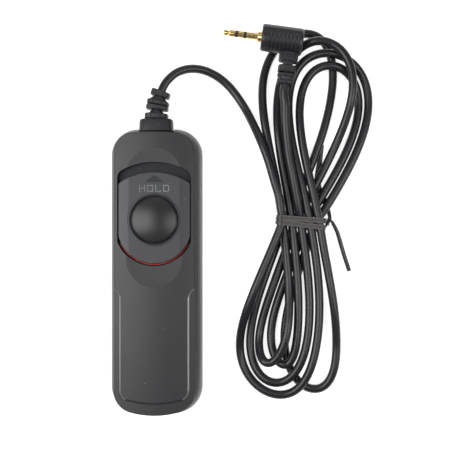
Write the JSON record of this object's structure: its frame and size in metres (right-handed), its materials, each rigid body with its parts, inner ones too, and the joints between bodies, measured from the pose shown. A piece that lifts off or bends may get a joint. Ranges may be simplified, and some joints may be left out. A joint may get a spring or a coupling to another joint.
{
  "type": "cable shutter release",
  "caption": "Wired camera remote: handset with a two-stage button on a hold slide, thin cord tied in a twisted hank, right-angled 2.5 mm stereo plug.",
  "frame": {"origin": "middle of the handset's footprint on the floor, the cord, plug and tie left out", "axes": "+Z out of the handset's top face, +Y along the handset towards the cord, +X to the right"},
  "size_m": [0.0984, 0.1457, 0.0181],
  "materials": {
    "shell": "fine satin grain",
    "slide": "fine satin grain",
    "button": "matt",
    "moulding": "natural moulded",
    "dark_moulding": "moulded",
    "signal_red": "glossy",
    "screw": "zinc plated",
    "leaf": "rolled",
    "red_wire": "extruded",
    "white_wire": "extruded",
    "black_wire": "extruded",
    "rubber": "moulded satin",
    "cord": "extruded satin",
    "contact_gold": "gold plated, polished",
    "insulator": "turned",
    "tie": "flat ribbon"
  },
  "bodies": {
    "handset": {"top_cover": "shell", "bottom_cover": "shell", "case_screws": "screw", "red_indicator": "signal_red", "contact_base": "dark_moulding", "full_press_leaf": "leaf", "lower_spacer": "moulding", "half_press_leaf": "leaf", "upper_spacer": "moulding", "common_leaf": "leaf", "contact_cap": "moulding", "contact_screws": "screw", "common_wire": "red_wire", "half_press_wire": "white_wire", "full_press_wire": "black_wire", "cord_clamp": "dark_moulding", "clamp_screws": "screw", "strain_relief": "rubber", "cord_lead": "cord", "cord_hank": "cord", "cord_plug_end": "cord", "plug_relief": "rubber", "plug_body": "rubber", "plug_collar": "contact_gold", "plug_sleeve": "contact_gold", "rear_insulator": "insulator", "plug_ring": "contact_gold", "front_insulator": "insulator", "plug_tip": "contact_gold", "twist_tie": "tie"},
    "slide": {"hold_slider": "slide", "slider_keeper": "moulding", "keeper_screws": "screw"},
    "button": {"shutter_button": "button", "button_clip": "screw", "button_spring": "screw"}
  },
  "joints": [
    {"name": "hold_slide", "type": "slide", "parent": "handset", "child": "slide", "axis": [0, 1, 0], "range_m": [0, 0.0035]},
    {"name": "button_press", "type": "slide", "parent": "slide", "child": "button", "axis": [0, 0, -1], "range_m": [0, 0.0016], "stiffness_N_per_m": 500, "springref_m": -0.001, "deforming": ["button_spring", "common_leaf", "half_press_leaf"]}
  ]
}
